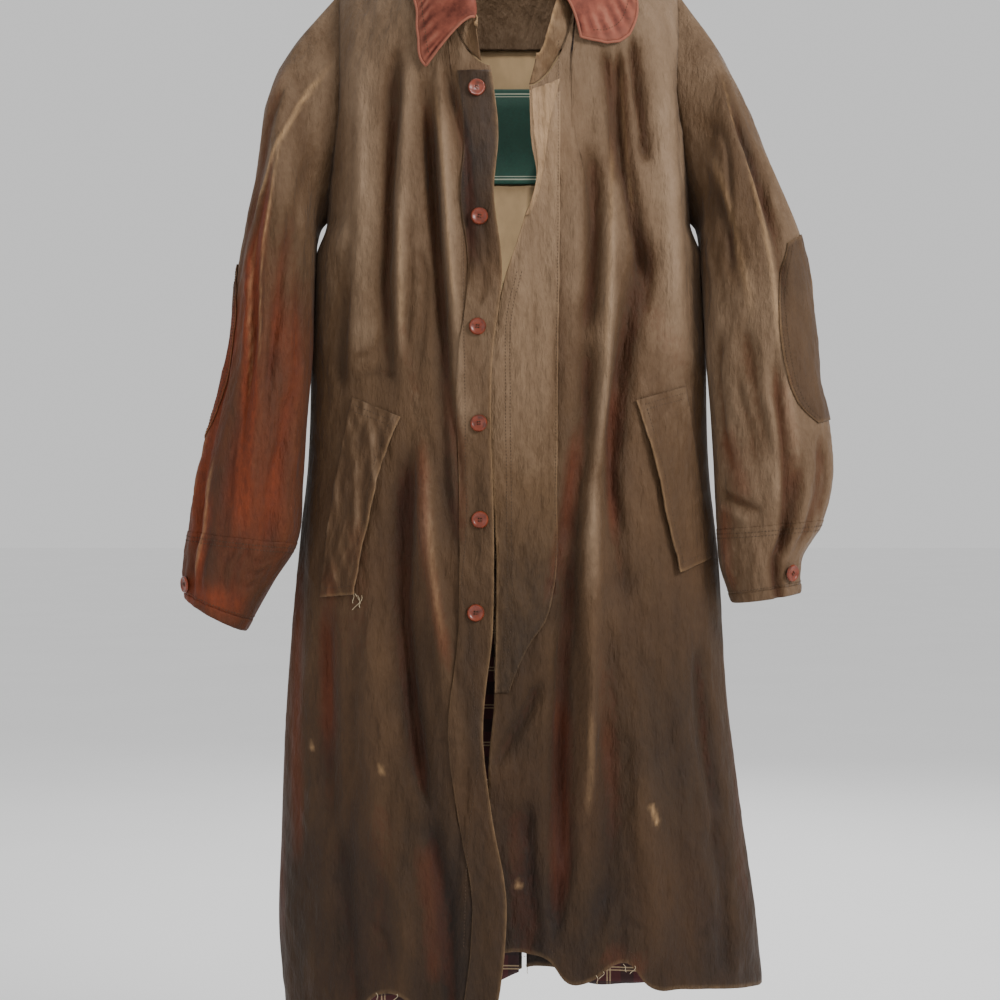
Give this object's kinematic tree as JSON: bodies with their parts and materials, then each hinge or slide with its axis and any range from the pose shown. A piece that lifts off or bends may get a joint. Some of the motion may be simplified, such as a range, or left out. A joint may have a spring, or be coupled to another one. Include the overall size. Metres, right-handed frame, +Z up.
{
  "type": "duster coat",
  "caption": "Long waxed cotton duster coat hanging open, with a leather collar fall, bound cuffs, elbow patches, slanted pocket flaps and a back vent.",
  "frame": {"origin": "between the shoulders, 0.045 m below the nape, where the wearer's shoulders carry the coat", "axes": "+Z up, -Y the coat's front, +X the wearer's left"},
  "size_m": [0.7405, 0.2548, 1.3073],
  "materials": {
    "waxed_cotton": "waxed, worn and creased",
    "waxed_cotton_dark": "waxed, worn",
    "hide": "soft, worn",
    "tan_lining": "plain weave",
    "check_lining": "plain weave in a dark check",
    "green_weave": "woven, bare",
    "horn": "satin horn look"
  },
  "bodies": {
    "root": {"back_left": "waxed_cotton", "back_right": "waxed_cotton", "button_1": "horn", "button_2": "horn", "button_3": "horn", "button_4": "horn", "button_5": "horn", "button_6": "horn", "button_strip": "waxed_cotton", "collar_leather": "hide", "collar_stand": "waxed_cotton", "cuff_binding_left": "waxed_cotton", "cuff_binding_right": "waxed_cotton", "cuff_button_left": "horn", "cuff_button_right": "horn", "cuff_left": "waxed_cotton", "cuff_right": "waxed_cotton", "elbow_patch_left": "waxed_cotton_dark", "elbow_patch_right": "waxed_cotton_dark", "fly_placket": "waxed_cotton", "front_facing_left": "waxed_cotton", "front_left": "waxed_cotton", "front_right": "waxed_cotton", "label": "green_weave", "lining_left": "check_lining", "lining_right": "check_lining", "neck_facing": "waxed_cotton", "pocket_flap_left": "waxed_cotton", "pocket_flap_right": "waxed_cotton", "sleeve_left_top": "waxed_cotton", "sleeve_left_under": "waxed_cotton", "sleeve_right_top": "waxed_cotton", "sleeve_right_under": "waxed_cotton", "yoke_lining": "tan_lining"}
  },
  "joints": []
}
